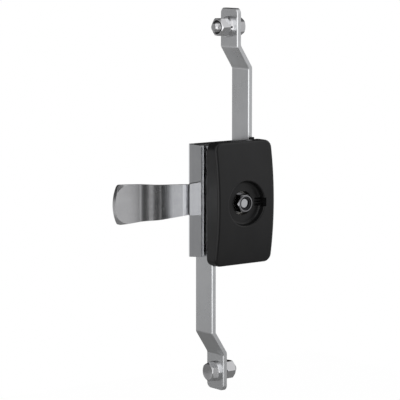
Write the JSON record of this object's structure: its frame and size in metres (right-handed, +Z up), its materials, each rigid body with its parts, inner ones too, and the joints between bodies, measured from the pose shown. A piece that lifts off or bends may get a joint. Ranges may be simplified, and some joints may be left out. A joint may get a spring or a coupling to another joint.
{
  "type": "rod control",
  "caption": "Door rod control in a plated steel channel with a black cover: a quarter turn of the spindle swings a cranked tongue and draws an upper and a lower flat rod in.",
  "frame": {"origin": "on the spindle axis, in the plane of the housing's rear face, which lies toward the door", "axes": "X to the right as the cover is seen, Y from the cover toward the door, Z up along the rods; the locked state is the rest pose"},
  "size_m": [0.0865, 0.0499, 0.2248],
  "materials": {
    "zinc_steel": "bright zinc plated sheet and bar steel",
    "sintered_steel": "plain sintered or turned steel, lightly oiled",
    "black_cover": "black moulded plastic, satin gloss",
    "black_nylon": "black moulded nylon",
    "acetal": "natural acetal",
    "dark_nylon": "dark nylon locking ring"
  },
  "bodies": {
    "case": {"housing": "zinc_steel", "rear_bush": "acetal", "front_plate": "zinc_steel", "front_bush": "acetal", "stop_pins": "sintered_steel", "spacer_tubes": "zinc_steel", "cover_screws": "zinc_steel", "cover": "black_cover", "cover_key": "black_cover", "upper_guide": "black_nylon", "lower_guide": "black_nylon"},
    "drive": {"drive_spindle": "zinc_steel", "thrust_washer": "acetal", "tongue": "zinc_steel", "pinion": "sintered_steel", "centre_washer": "zinc_steel", "centre_nut": "zinc_steel", "centre_ring": "dark_nylon"},
    "upper_rod_set": {"upper_rod": "zinc_steel", "upper_end_bolt": "zinc_steel", "upper_end_washers": "zinc_steel", "upper_end_spring_washer": "zinc_steel", "upper_end_nut": "zinc_steel", "upper_end_ring": "dark_nylon"},
    "lower_rod_set": {"lower_rod": "zinc_steel", "lower_end_bolt": "zinc_steel", "lower_end_washers": "zinc_steel", "lower_end_spring_washer": "zinc_steel", "lower_end_nut": "zinc_steel", "lower_end_ring": "dark_nylon"}
  },
  "joints": [
    {"name": "spindle_turn", "type": "hinge", "parent": "case", "child": "drive", "pos_m": [0, 0, 0], "axis": [0, 1, 0], "range_deg": [0, 90]},
    {"name": "upper_slide", "type": "slide", "parent": "case", "child": "upper_rod_set", "axis": [0, 0, 1], "range_m": [-0.0212, 0]},
    {"name": "lower_slide", "type": "slide", "parent": "case", "child": "lower_rod_set", "axis": [0, 0, 1], "range_m": [0, 0.0212]}
  ],
  "couplings": [
    {"joint": "upper_slide", "follows": "spindle_turn", "m_per_rad": -0.013369},
    {"joint": "lower_slide", "follows": "spindle_turn", "m_per_rad": 0.013369}
  ]
}
